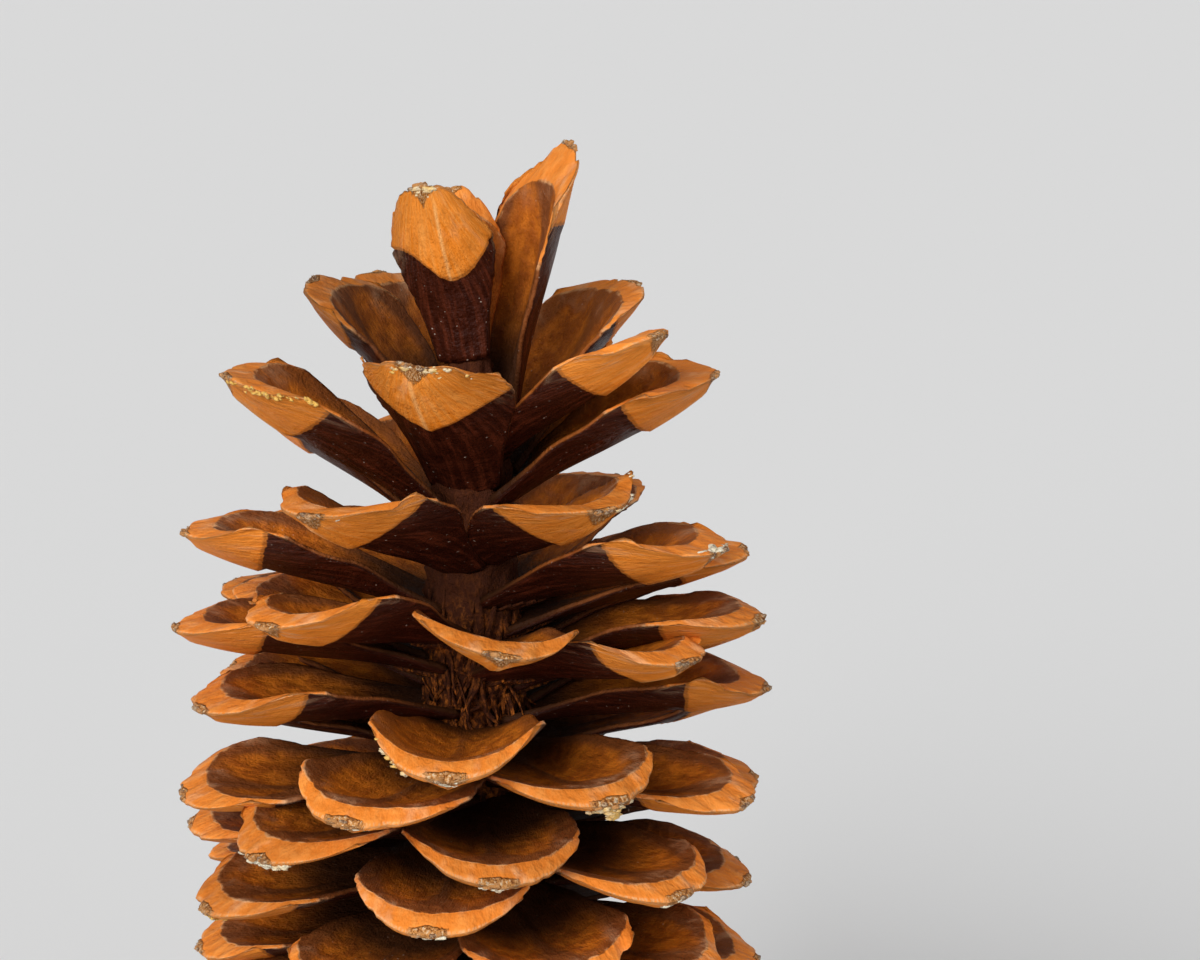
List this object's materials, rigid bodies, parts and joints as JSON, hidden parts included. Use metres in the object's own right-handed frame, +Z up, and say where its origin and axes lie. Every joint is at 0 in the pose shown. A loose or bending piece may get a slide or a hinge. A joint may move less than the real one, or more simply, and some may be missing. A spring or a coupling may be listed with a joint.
{
  "type": "sugar pine cone",
  "caption": "Open dry sugar pine cone standing on its lowest scales, with cupped woody scales wound round a core in a spiral and closed upright scales at its tip.",
  "frame": {"origin": "middle of the flat end of the broken stalk, on the ground, under the cone's axis", "axes": "+Z up along the cone's axis to its tip, -Y towards the front, +X to the viewer's right"},
  "size_m": [0.1122, 0.111, 0.2509],
  "materials": {
    "scale_wood": "dry orange-brown cone scales, satin, with dark maroon inner faces and spots of pale dried resin"
  },
  "bodies": {
    "root": {"cone": "scale_wood"}
  },
  "joints": []
}
